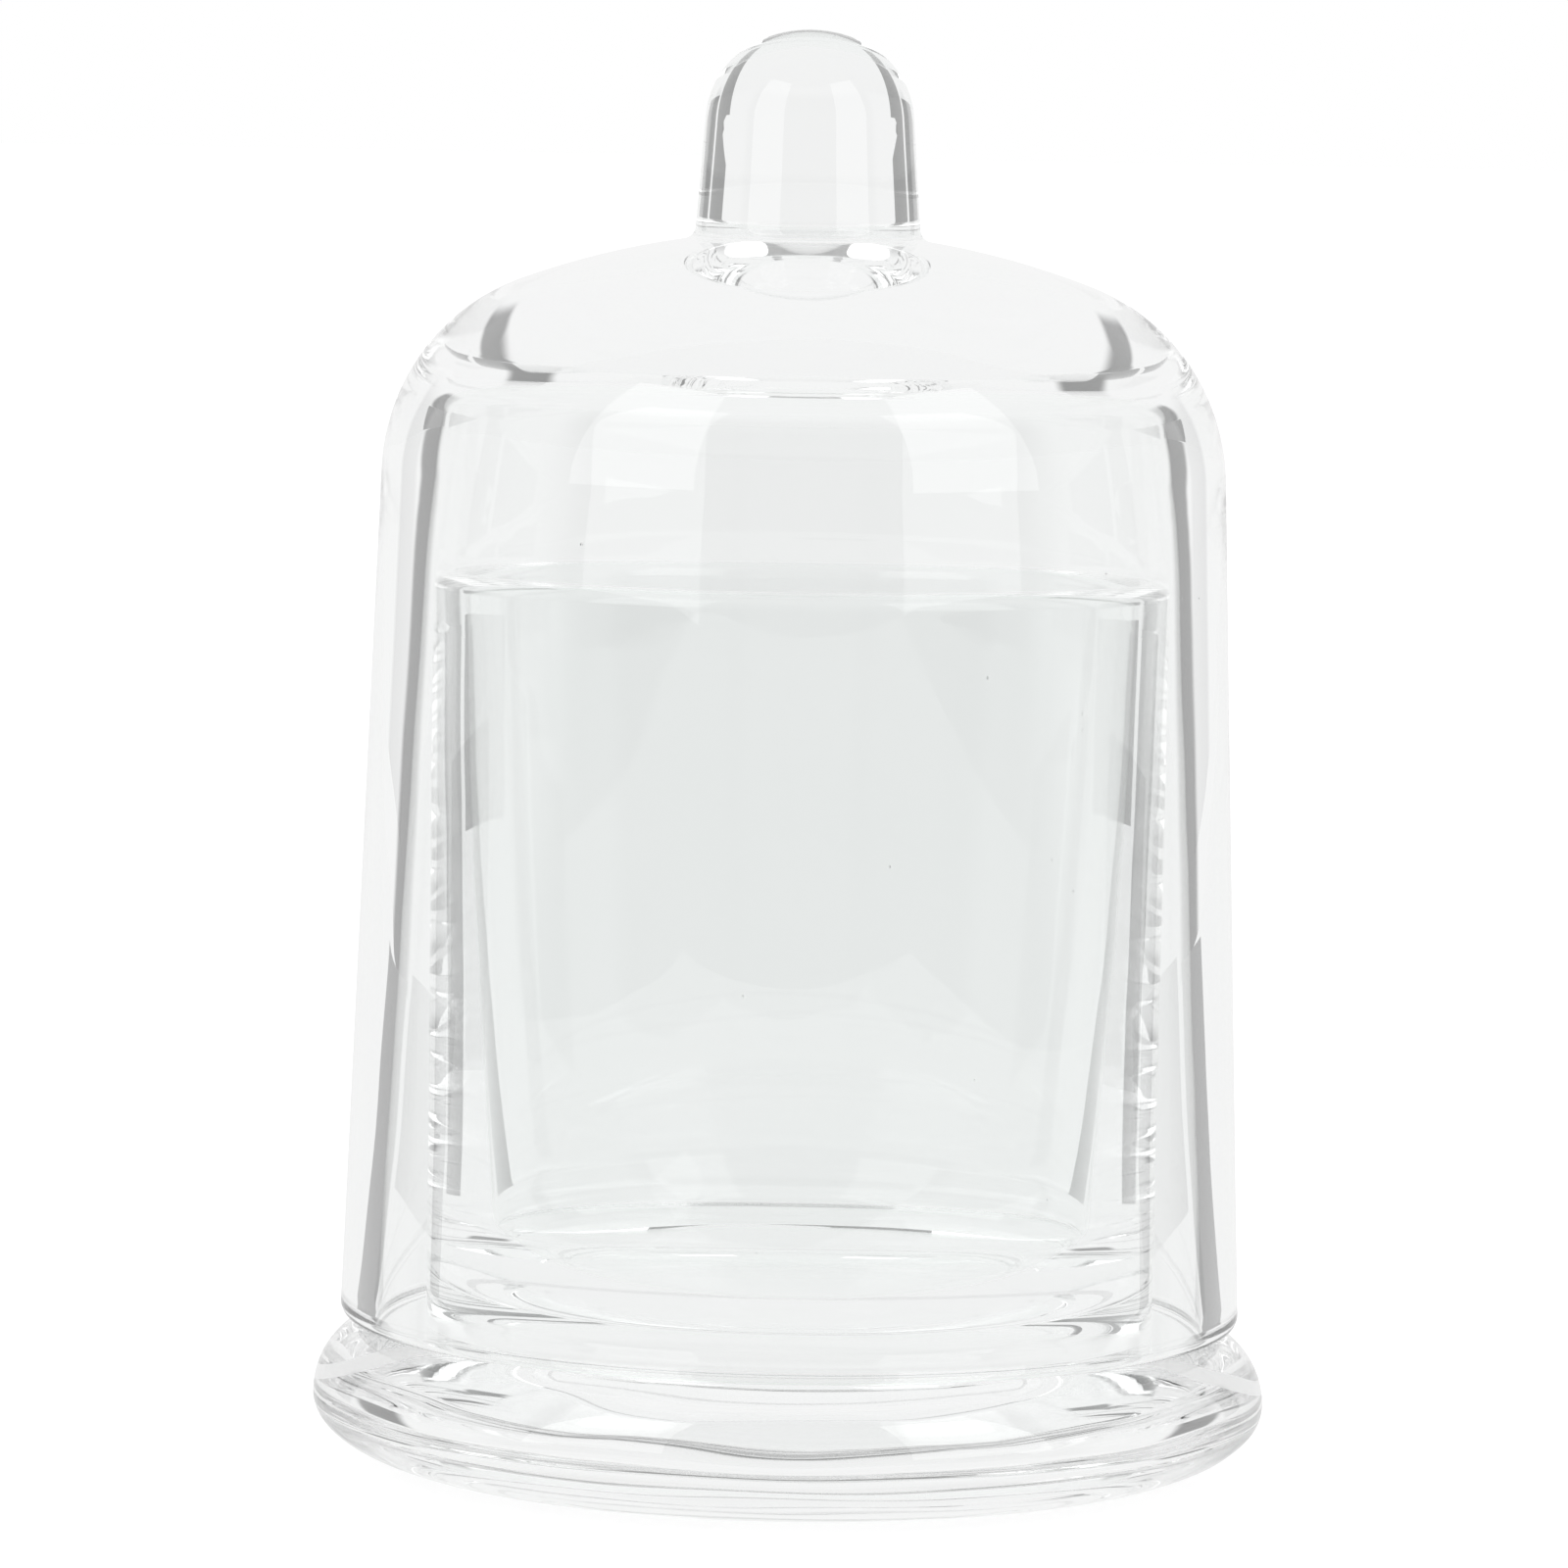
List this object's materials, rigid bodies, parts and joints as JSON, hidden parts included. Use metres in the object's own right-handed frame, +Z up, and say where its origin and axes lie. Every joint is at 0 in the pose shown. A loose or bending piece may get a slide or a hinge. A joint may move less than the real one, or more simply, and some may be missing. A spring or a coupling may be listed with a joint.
{
  "type": "bell jar",
  "caption": "Clear glass cloche: a thick bell with a bullet knob lifts off a straight cup fused to a heavy rounded foot; shows or covers a small object or candle.",
  "frame": {"origin": "centre of the ring that the foot stands on, in the plane of the table", "axes": "+Z up along the common axis of foot, cup, bell and knob; X and Y are free, because the object is round"},
  "size_m": [0.1002, 0.1002, 0.1503],
  "materials": {
    "clear_glass": "fire-polished clear soda-lime glass, neutral, with faint waviness and a few small seeds"
  },
  "bodies": {
    "base": {"foot": "clear_glass", "cup": "clear_glass"},
    "dome": {"bell": "clear_glass", "knob": "clear_glass"}
  },
  "joints": [
    {"name": "dome_lift", "type": "slide", "parent": "base", "child": "dome", "axis": [0, 0, 1], "range_m": [0, 0.1]}
  ]
}
